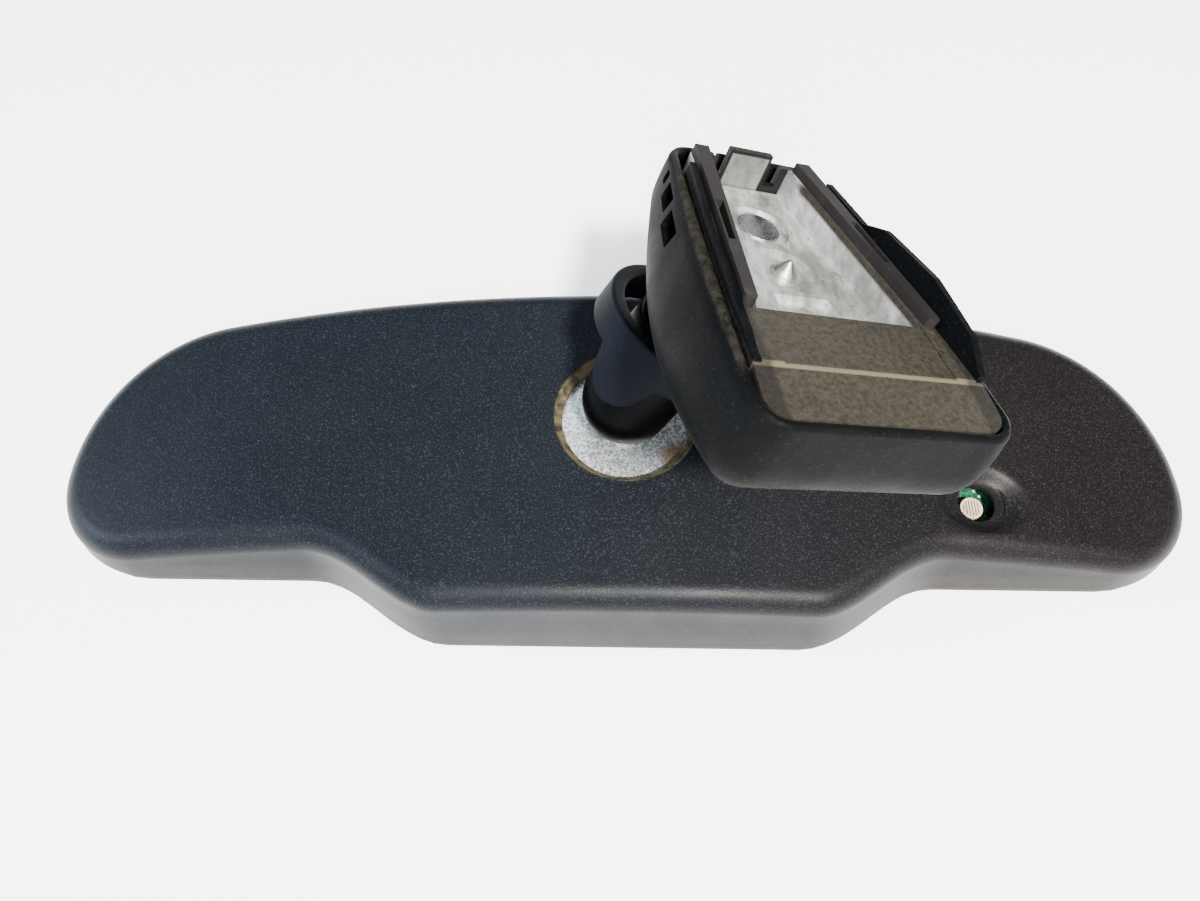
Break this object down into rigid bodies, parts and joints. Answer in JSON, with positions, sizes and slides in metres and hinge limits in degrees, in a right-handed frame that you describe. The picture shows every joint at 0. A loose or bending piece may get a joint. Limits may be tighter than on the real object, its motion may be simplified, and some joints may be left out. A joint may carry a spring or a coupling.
{
  "type": "interior rearview mirror",
  "caption": "Vehicle interior rearview mirror with a rounded lobed head, round ball opening, short double-ball stay and a windshield foot with a tapered channel.",
  "frame": {"origin": "on the plane the mirror rests on, under the middle of the head", "axes": "+X along the mirror, +Y towards its top edge, +Z away from the glass"},
  "size_m": [0.252, 0.0804, 0.0951],
  "materials": {
    "housing_plastic": "grained black ABS",
    "bezel_plastic": "fine grained black",
    "mirror_glass": "tinted electrochromic mirror",
    "clear_glass": "clear coated glass",
    "seal_epoxy": "satin",
    "clip_metal": "tinned copper alloy",
    "pad_foam": "closed cell foam",
    "carrier_plastic": "moulded",
    "plate_steel": "galvanised",
    "screw_steel": "zinc plated",
    "board_laminate": "green solder mask",
    "chip_plastic": "moulded package",
    "part_metal": "brushed can",
    "header_plastic": "moulded",
    "pin_metal": "tinned brass",
    "cell_ceramic": "cream ceramic",
    "lens_plastic": "clear lens",
    "led_plastic": "clear green",
    "button_plastic": "fine grained black",
    "stud_steel": "turned",
    "seat_nylon": "natural nylon",
    "spring_steel": "drawn wire",
    "stay_paint": "black semi gloss",
    "collar_plastic": "satin dark navy",
    "base_zinc": "die-cast zinc",
    "cover_plastic": "dusty matte black",
    "arm_plastic": "worn black brown"
  },
  "bodies": {
    "head": {"rear_housing": "housing_plastic", "bezel": "bezel_plastic", "front_glass": "clear_glass", "cell_seal": "seal_epoxy", "rear_glass": "mirror_glass", "bus_clips": "clip_metal", "foam_pad": "pad_foam", "carrier_plate": "carrier_plastic", "mount_plate": "plate_steel", "plate_screws": "screw_steel", "circuit_board": "board_laminate", "controller_chip": "chip_plastic", "power_parts": "part_metal", "connector_header": "header_plastic", "connector_pins": "pin_metal", "forward_photocell": "cell_ceramic", "photocell_leads": "clip_metal", "glare_sensor": "chip_plastic", "sensor_window": "lens_plastic", "tact_switch": "part_metal", "indicator_led": "led_plastic", "light_pipe": "lens_plastic"},
    "head_ball": {"head_ball_stud": "stud_steel"},
    "seat": {"lower_seat": "seat_nylon"},
    "stay": {"stay_tube": "stay_paint", "stay_collar": "collar_plastic", "upper_seat": "seat_nylon", "stay_spring": "spring_steel"},
    "foot_ball": {"foot_ball_stud": "stud_steel"},
    "foot": {"mount_base": "base_zinc", "foot_cover": "cover_plastic", "hold_down_arms": "arm_plastic", "side_bars": "cover_plastic"},
    "button": {"push_button": "button_plastic"},
    "screw": {"set_screw": "screw_steel"}
  },
  "joints": [
    {"name": "head_swing", "type": "hinge", "parent": "head", "child": "head_ball", "pos_m": [0, 0.0048, 0.031], "axis": [0, 0, 1], "range_deg": [-25, 25]},
    {"name": "head_tilt", "type": "hinge", "parent": "head_ball", "child": "seat", "pos_m": [0, 0.0048, 0.031], "axis": [-0.4695, 0.8829, 0], "range_deg": [-21, 5]},
    {"name": "stay_twist", "type": "hinge", "parent": "seat", "child": "stay", "pos_m": [0, 0.0048, 0.031], "axis": [0.519, 0.2759, 0.809], "range_deg": [-10, 10]},
    {"name": "foot_tilt", "type": "hinge", "parent": "stay", "child": "foot_ball", "pos_m": [0.01816, 0.01446, 0.05932], "axis": [-0.0883, -0.9241, 0.3719], "range_deg": [-20, 8]},
    {"name": "foot_swing", "type": "hinge", "parent": "foot_ball", "child": "foot", "pos_m": [0.01816, 0.01446, 0.05932], "axis": [0.2986, 0.3316, 0.8949], "range_deg": [-30, 30]},
    {"name": "button_press", "type": "slide", "parent": "head", "child": "button", "axis": [0, 0, 1], "range_m": [0, 0.0005], "stiffness_N_per_m": 300, "springref_m": -0.0005},
    {"name": "screw_advance", "type": "slide", "parent": "foot", "child": "screw", "axis": [0.2986, 0.3316, 0.8949], "range_m": [0, 0.0012]}
  ]
}
